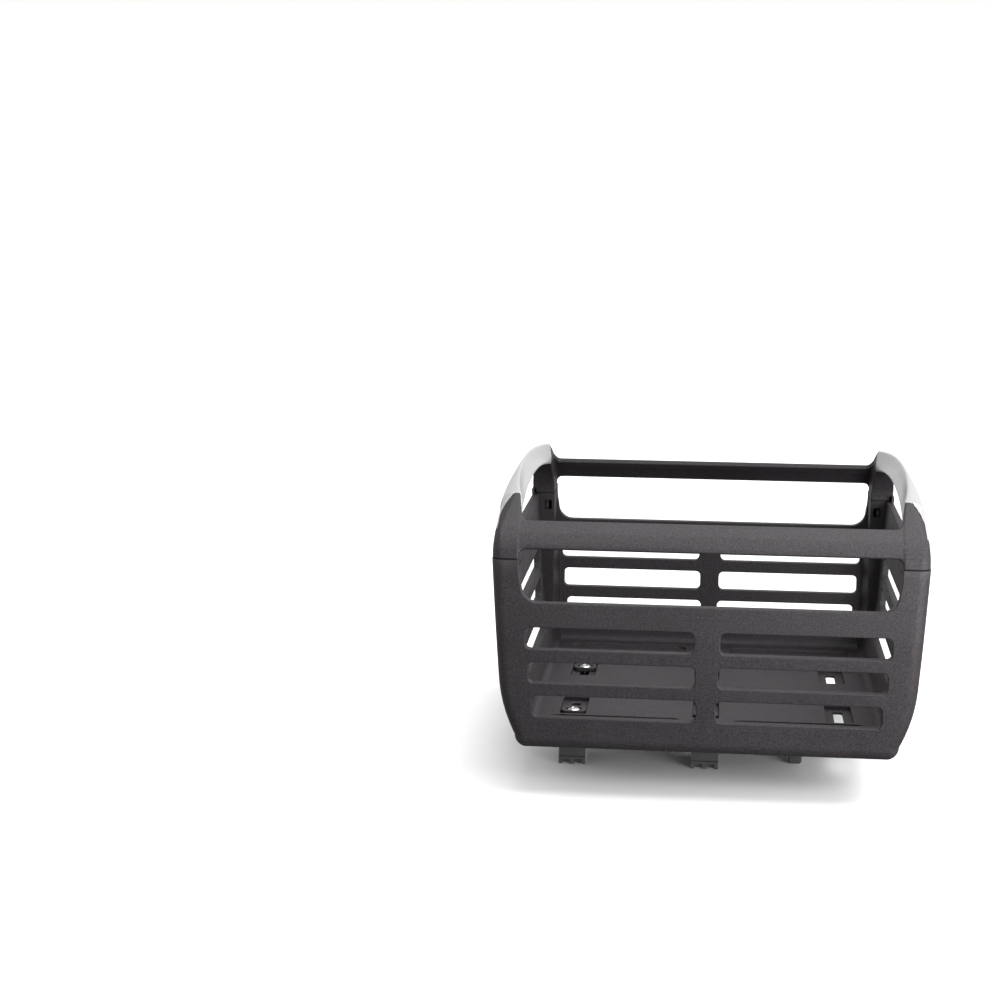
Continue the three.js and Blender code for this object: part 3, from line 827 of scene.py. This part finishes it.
near_frame = rail_frame("near_frame_moulding", -1)
far_frame = rail_frame("far_frame_moulding", 1)
left_grip = handle("left_handle_moulding", -1)
right_grip = handle("right_handle_moulding", 1)

# ---------------------------------------------------------------- clamps and feet
BOLT_Y = 72.6
BOLT_SEAT = 2.3
BOLT_END = -37.6
THREAD_PITCH = 0.8
THREAD_START = -14.0
PLATE_HALF_X = 10.0
PLATE_HALF_Y = 8.9
PLATE_CORNER = 5.8
FOOT_X = 74.0
FOOT_Y = 57.0
SOLE = -38.3


def ring(cx, cy, r, z, count=48):
    angles = [2 * math.pi * i / count for i in range(count)]
    return [(cx + r * math.cos(a), cy + r * math.sin(a), z) for a in angles]


def hexagon(cx, cy, across, z, count=48):
    """Points evenly spread round a hexagon, for a key's socket."""
    out = []
    for i in range(count):
        a = 2 * math.pi * i / count
        off = (a + math.pi / 6) % (math.pi / 3) - math.pi / 6
        r = across / 2 / math.cos(off)
        out.append((cx + r * math.cos(a), cy + r * math.sin(a), z))
    return out


def bolt(name, x, y):
    """Button-head screw with a hexagonal socket and a rolled thread on its lower half."""
    skin = Skin()
    seat = BOLT_SEAT
    socket = ((3.0, 1.5), (3.1, 2.9), (3.5, 3.15))
    rows = [hexagon(x, y, across, seat + rise) for across, rise in socket]
    rows.append(ring(x, y, 2.5, seat + 3.08))
    for degrees in (75, 62, 50, 38, 26, 14, 0):
        a = math.radians(degrees)
        rows.append(ring(x, y, 5.55 * math.cos(a) ** 0.8, seat + 0.75 + 2.4 * math.sin(a)))
    rows += [ring(x, y, 5.5, seat + 0.25), ring(x, y, 5.2, seat)]
    rows += [ring(x, y, 2.48, seat), ring(x, y, 2.45, THREAD_START)]
    skin.band(rows, closed=True)
    skin.cap(rows[0], flip=True)
    thread = []
    z = THREAD_START
    while z > BOLT_END + 0.7:
        row = []
        for i in range(48):
            turn = (z / THREAD_PITCH + i / 48) % 1
            blend = min(1.0, (THREAD_START - z) / 1.2)
            r = 2.45 - 0.42 * blend * (1 - abs(2 * turn - 1))
            a = 2 * math.pi * i / 48
            row.append((x + r * math.cos(a), y + r * math.sin(a), z))
        thread.append(row)
        z -= THREAD_PITCH / 6
    thread += [ring(x, y, 2.0, BOLT_END + 0.35), ring(x, y, 1.75, BOLT_END + 0.02)]
    skin.band(thread, closed=True)
    skin.cap(thread[-1], flip=True)
    return skin.make(name, weld=0.001, sharp=50)


def washer_plate(name, x, y):
    """Rounded plate that slides along the slot, countersunk for the screw's head."""
    skin = Skin()
    low, high, edge = POCKET_FLOOR + 0.3, POCKET_FLOOR + 3.7, 0.5
    left, right = x - PLATE_HALF_X, x + PLATE_HALF_X
    front, back = y - PLATE_HALF_Y, y + PLATE_HALF_Y
    outline = rounded_rect(left, right, front, back, PLATE_CORNER, steps=10, along=50)
    bore = [p[:2] for p in ring(x, y, 2.9, 0)]
    lip = [p[:2] for p in ring(x, y, 6.9, 0)]
    skin.fill(grow(outline, -edge), [lip], lambda u, v: (u, v, high))
    rows = [[(u, v, high - g) for u, v in grow(outline, -d)] for d, g in ((0.5, 0), (0.15, 0.15), (0, 0.5))]
    rows += [[(u, v, low + g) for u, v in grow(outline, -d)] for d, g in ((0, 0.3), (0.3, 0))]
    skin.band(rows, closed=True)
    skin.fill(grow(outline, -0.3), [bore], lambda u, v: (u, v, low), flip=True)
    rows = [ring(x, y, 6.9, high), ring(x, y, 6.6, high - 0.3), ring(x, y, 6.6, low + 0.75)]
    rows += [ring(x, y, 2.9, low + 0.7), ring(x, y, 2.9, low)]
    skin.band(rows, closed=True, flip=True)
    return skin.make(name, sharp=35)


def foot(name, side):
    """Tapered rubber foot with a grooved sole, under the tub."""
    skin = Skin()
    y = side * FOOT_Y
    keys = [  # height, half length, half width
        (0.2, 8.3, 10.3),
        (-2.5, 7.9, 9.9),
        (-12.0, 6.4, 8.6),
        (-24.0, 5.9, 7.9),
        (-36.5, 5.5, 7.3),
        (-37.8, 5.2, 7.0),
        (SOLE, 4.7, 6.5),
    ]
    rows = []
    for z, half_x, half_y in keys:
        loop = rounded_rect(FOOT_X - half_x, FOOT_X + half_x, y - half_y, y + half_y, 2.4, steps=6, along=50)
        rows.append([(u, v, z) for u, v in loop])
    skin.band(rows, closed=True)
    skin.cap(rows[0])
    sole = [(u, v) for u, v, _ in rows[-1]]
    groove_top = SOLE + 0.8
    grooves = [
        rounded_rect(FOOT_X - 3.4, FOOT_X + 3.4, y + c - 0.6, y + c + 0.6, 0.55, along=50)
        for c in (-3.6, -1.2, 1.2, 3.6)
    ]
    skin.fill(sole, grooves, lambda u, v: (u, v, SOLE), flip=True)
    for groove in grooves:
        skin.band([[(u, v, z) for u, v in groove] for z in (SOLE, groove_top)], closed=True)
        skin.fill(groove, [], lambda u, v: (u, v, groove_top), flip=True)
    return skin.make(name, sharp=35)


hardware = []
for place, station in (("left", -CLAMP_X), ("middle", 0.0)):
    for depth, side in (("near", -1), ("far", 1)):
        label = f"{depth}_{place}"
        hardware.append((bolt(f"{label}_button_screw", station, side * BOLT_Y), label, "bolt"))
        hardware.append((washer_plate(f"{label}_slide_plate", station, side * BOLT_Y), label, "washer_plate"))
feet = [(foot(f"{depth}_foot_moulding", side), depth) for depth, side in (("near", -1), ("far", 1))]

# ---------------------------------------------------------------- camera, light and floor
camera_data = bpy.data.cameras.new("camera")
camera = bpy.data.objects.new("camera", camera_data)
bpy.context.scene.collection.objects.link(camera)
bpy.context.scene.camera = camera
camera_data.lens = 74.22
camera_data.sensor_width = 36
CAMERA_PLACE = (0.00214, -1.70837, 0.49138)
YAW = 0.10784
PITCH = 0.16365
ROLL = 0.00739
flat = math.cos(PITCH)
ahead = Vector((-math.sin(YAW) * flat, math.cos(YAW) * flat, -math.sin(PITCH)))
level = Vector((math.cos(YAW), math.sin(YAW), 0))
upward = level.cross(ahead)
right = math.cos(ROLL) * level + math.sin(ROLL) * upward
upright = -math.sin(ROLL) * level + math.cos(ROLL) * upward
turn = Matrix((right, upright, -ahead)).transposed()
camera.matrix_world = Matrix.Translation(CAMERA_PLACE) @ turn.to_4x4()

# ---------------------------------------------------------------- materials
def node(tree, kind, **inputs):
    made = tree.nodes.new(kind)
    for name, value in inputs.items():
        made.inputs[name].default_value = value
    return made


def noise(tree, coords, scale, detail=2.0, roughness=0.5):
    made = node(tree, "ShaderNodeTexNoise", Scale=scale, Detail=detail, Roughness=roughness)
    tree.links.new(coords, made.inputs["Vector"])
    return made.outputs["Fac"]


def ramp(tree, source, low, high, dark, light):
    made = tree.nodes.new("ShaderNodeValToRGB")
    made.color_ramp.elements[0].position = low
    made.color_ramp.elements[1].position = high
    made.color_ramp.elements[0].color = (*dark, 1)
    made.color_ramp.elements[1].color = (*light, 1)
    tree.links.new(source, made.inputs["Fac"])
    return made.outputs["Color"]


def spread(tree, source, low, high, out_low, out_high):
    made = node(tree, "ShaderNodeMapRange")
    for name, value in (("From Min", low), ("From Max", high), ("To Min", out_low), ("To Max", out_high)):
        made.inputs[name].default_value = value
    tree.links.new(source, made.inputs["Value"])
    return made.outputs["Result"]


def mixed(tree, blend, factor, a, b):
    made = tree.nodes.new("ShaderNodeMix")
    made.data_type = "RGBA"
    made.blend_type = blend
    if isinstance(factor, float):
        made.inputs["Factor"].default_value = factor
    else:
        tree.links.new(factor, made.inputs["Factor"])
    for value, socket in ((a, made.inputs["A"]), (b, made.inputs["B"])):
        if isinstance(value, tuple):
            socket.default_value = (*value, 1)
        else:
            tree.links.new(value, socket)
    return made.outputs["Result"]


def start(name):
    material = bpy.data.materials.new(name)
    material.use_nodes = True
    tree = material.node_tree
    shader = tree.nodes["Principled BSDF"]
    coords = tree.nodes.new("ShaderNodeTexCoord").outputs["Object"]
    return material, tree, shader, coords


def bump(tree, shader, height, strength, distance, before=None):
    made = node(tree, "ShaderNodeBump", Strength=strength, Distance=distance)
    tree.links.new(height, made.inputs["Height"])
    if before is not None:
        tree.links.new(before, made.inputs["Normal"])
    tree.links.new(made.outputs["Normal"], shader.inputs["Normal"])
    return made.outputs["Normal"]


def grained_plastic():
    """Charcoal polypropylene: spark-eroded grain, faint chalky handling marks, and convex edges painted paler
    as a highlight.
    """
    material, tree, shader, coords = start("grained_plastic")
    grain = noise(tree, coords, 1500.0, 3.0, 0.6)
    patches = noise(tree, coords, 14.0, 4.0, 0.62)
    specks = noise(tree, coords, 900.0, 3.0, 0.6)
    base = ramp(tree, patches, 0.38, 0.7, (0.0178, 0.0151, 0.0174), (0.0212, 0.0180, 0.0207))
    salt = ramp(tree, specks, 0.34, 0.68, (0.45, 0.45, 0.45), (1.55, 1.55, 1.55))
    base = mixed(tree, "MULTIPLY", 1.0, base, salt)
    # Painted highlight: convex edges, found by pointiness, are mixed towards a paler grey as if their
    # rounding caught the light.
    pointy = tree.nodes.new("ShaderNodeNewGeometry").outputs["Pointiness"]
    painted_edge_highlight = spread(tree, pointy, 0.52, 0.62, 0.0, 0.35)
    base = mixed(tree, "MIX", painted_edge_highlight, base, (0.075, 0.071, 0.073))
    tree.links.new(base, shader.inputs["Base Color"])
    tree.links.new(spread(tree, patches, 0.3, 0.7, 0.5, 0.62), shader.inputs["Roughness"])
    shader.inputs["Specular IOR Level"].default_value = 0.26
    bump(tree, shader, grain, 0.5, 0.0004)
    return material


def silver_plastic():
    """Satin silver lacquer with a trace of flake and orange peel."""
    material, tree, shader, coords = start("silver_plastic")
    flake = noise(tree, coords, 1600.0, 1.0, 0.5)
    peel = noise(tree, coords, 210.0, 2.0, 0.5)
    base = ramp(tree, flake, 0.3, 0.75, (0.30, 0.30, 0.304), (0.37, 0.37, 0.374))
    tree.links.new(base, shader.inputs["Base Color"])
    shader.inputs["Metallic"].default_value = 0.35
    tree.links.new(spread(tree, peel, 0.3, 0.7, 0.33, 0.42), shader.inputs["Roughness"])
    bump(tree, shader, peel, 0.05, 0.0003)
    return material


def black_moulding():
    material, tree, shader, coords = start("clamp_plastic")
    grain = noise(tree, coords, 900.0, 2.0, 0.5)
    patches = noise(tree, coords, 60.0, 3.0)
    base = ramp(tree, patches, 0.35, 0.7, (0.020, 0.020, 0.021), (0.034, 0.033, 0.034))
    tree.links.new(base, shader.inputs["Base Color"])
    tree.links.new(spread(tree, grain, 0.3, 0.7, 0.42, 0.55), shader.inputs["Roughness"])
    bump(tree, shader, grain, 0.2, 0.0002)
    return material


def zinc_steel():
    material, tree, shader, coords = start("zinc_steel")
    streak = node(tree, "ShaderNodeMapping")
    streak.inputs["Scale"].default_value = (1.0, 1.0, 0.15)
    tree.links.new(coords, streak.inputs["Vector"])
    brushed = noise(tree, streak.outputs["Vector"], 1800.0, 2.0, 0.6)
    stain = noise(tree, coords, 120.0, 3.0, 0.6)
    base = ramp(tree, stain, 0.35, 0.7, (0.42, 0.43, 0.44), (0.66, 0.66, 0.65))
    tree.links.new(base, shader.inputs["Base Color"])
    shader.inputs["Metallic"].default_value = 1.0
    tree.links.new(spread(tree, stain, 0.3, 0.7, 0.24, 0.4), shader.inputs["Roughness"])
    bump(tree, shader, brushed, 0.15, 0.0002)
    return material


def foot_rubber():
    material, tree, shader, coords = start("foot_rubber")
    grain = noise(tree, coords, 700.0, 3.0, 0.6)
    patches = noise(tree, coords, 90.0, 3.0)
    base = ramp(tree, patches, 0.35, 0.7, (0.014, 0.014, 0.014), (0.03, 0.029, 0.029))
    tree.links.new(base, shader.inputs["Base Color"])
    tree.links.new(spread(tree, grain, 0.3, 0.7, 0.7, 0.85), shader.inputs["Roughness"])
    bump(tree, shader, grain, 0.3, 0.0003)
    return material


GRAINED, SILVER = grained_plastic(), silver_plastic()
CLAMP, ZINC, RUBBER = black_moulding(), zinc_steel(), foot_rubber()


def paint(obj, material):
    obj.data.materials.clear()
    obj.data.materials.append(material)


# ---------------------------------------------------------------- floor and light
floor_mesh = bpy.data.meshes.new("studio_floor")
floor_mesh.from_pydata([(-30, -30, 0), (30, -30, 0), (30, 30, 0), (-30, 30, 0)], [], [(0, 1, 2, 3)])
studio_floor = bpy.data.objects.new("studio_floor", floor_mesh)
bpy.context.scene.collection.objects.link(studio_floor)
material, tree, shader, coords = start("studio_floor")
mottle = ramp(tree, noise(tree, coords, 3.0), 0.3, 0.7, (0.70, 0.70, 0.70), (0.72, 0.72, 0.72))
tree.links.new(mottle, shader.inputs["Base Color"])
shader.inputs["Roughness"].default_value = 0.9
paint(studio_floor, material)
studio_floor.visible_diffuse = False  # the basket is lit from above and around, not from below
studio_floor.visible_glossy = False

world = bpy.data.worlds.new("studio")
bpy.context.scene.world = world
world.use_nodes = True
sky = world.node_tree
direction = sky.nodes.new("ShaderNodeTexCoord").outputs["Generated"]
height = sky.nodes.new("ShaderNodeSeparateXYZ")
sky.links.new(direction, height.inputs["Vector"])
background = sky.nodes["Background"]
brightness = spread(sky, height.outputs["Z"], -0.5, -0.08, LOW_SKY, HIGH_SKY)
sky.links.new(brightness, background.inputs["Strength"])
background.inputs["Color"].default_value = (1, 1, 1, 1)
bpy.context.scene.view_settings.view_transform = "Standard"


def soft_sun(name, toward, strength, angle):
    """Sun that shines from the direction given, as soft as its angle is wide."""
    data = bpy.data.lights.new(name, "SUN")
    data.energy = strength
    data.angle = math.radians(angle)
    lamp = bpy.data.objects.new(name, data)
    bpy.context.scene.collection.objects.link(lamp)
    lamp.rotation_euler = Vector(toward).to_track_quat("Z", "Y").to_euler()


soft_sun("overhead", (0.3, 0.05, 1.0), 4.1, 60)


def soft_box(name, place, target, size, watts):
    data = bpy.data.lights.new(name, "AREA")
    data.shape = "RECTANGLE"
    data.size = data.size_y = size
    data.energy = watts
    lamp = bpy.data.objects.new(name, data)
    bpy.context.scene.collection.objects.link(lamp)
    lamp.location = place
    lamp.rotation_euler = (Vector(target) - Vector(place)).to_track_quat("-Z", "Y").to_euler()


soft_box("right_softbox", (0.56, -0.68, 0.26), (0.05, 0, 0.1), 0.5, 13.0)

# ---------------------------------------------------------------- bodies
for piece, material, slot, stands_for in (
    (tub, GRAINED, "grained_plastic", "tub"),
    (columns, GRAINED, "grained_plastic", None),
    (near_frame, GRAINED, "grained_plastic", "near_rail_frame"),
    (far_frame, GRAINED, "grained_plastic", "far_rail_frame"),
    (left_grip, SILVER, "silver_plastic", "left_handle"),
    (right_grip, SILVER, "silver_plastic", "right_handle"),
):
    paint(piece, material)
    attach(piece, "basket")
    if stands_for:
        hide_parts(stands_for)

for piece, label, kind in hardware:
    is_bolt = kind == "bolt"
    paint(piece, ZINC if is_bolt else GRAINED)
    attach(piece, label + ("_screw" if is_bolt else "_clamp"))
    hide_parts(f"{label}_{kind}")
for piece, depth in feet:
    paint(piece, RUBBER)
    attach(piece, "basket")
    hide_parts(f"{depth}_rest_foot")

for name, obj in frame["nodes"].items():
    if name.endswith(("_saddle", "_jaw", "_nut")):
        paint(obj, ZINC if name.endswith("_nut") else CLAMP)
        edge = obj.modifiers.new("Edge", "BEVEL")
        edge.width = 0.0005
        edge.segments = 2
        edge.limit_method = "ANGLE"
        edge.angle_limit = math.radians(40)
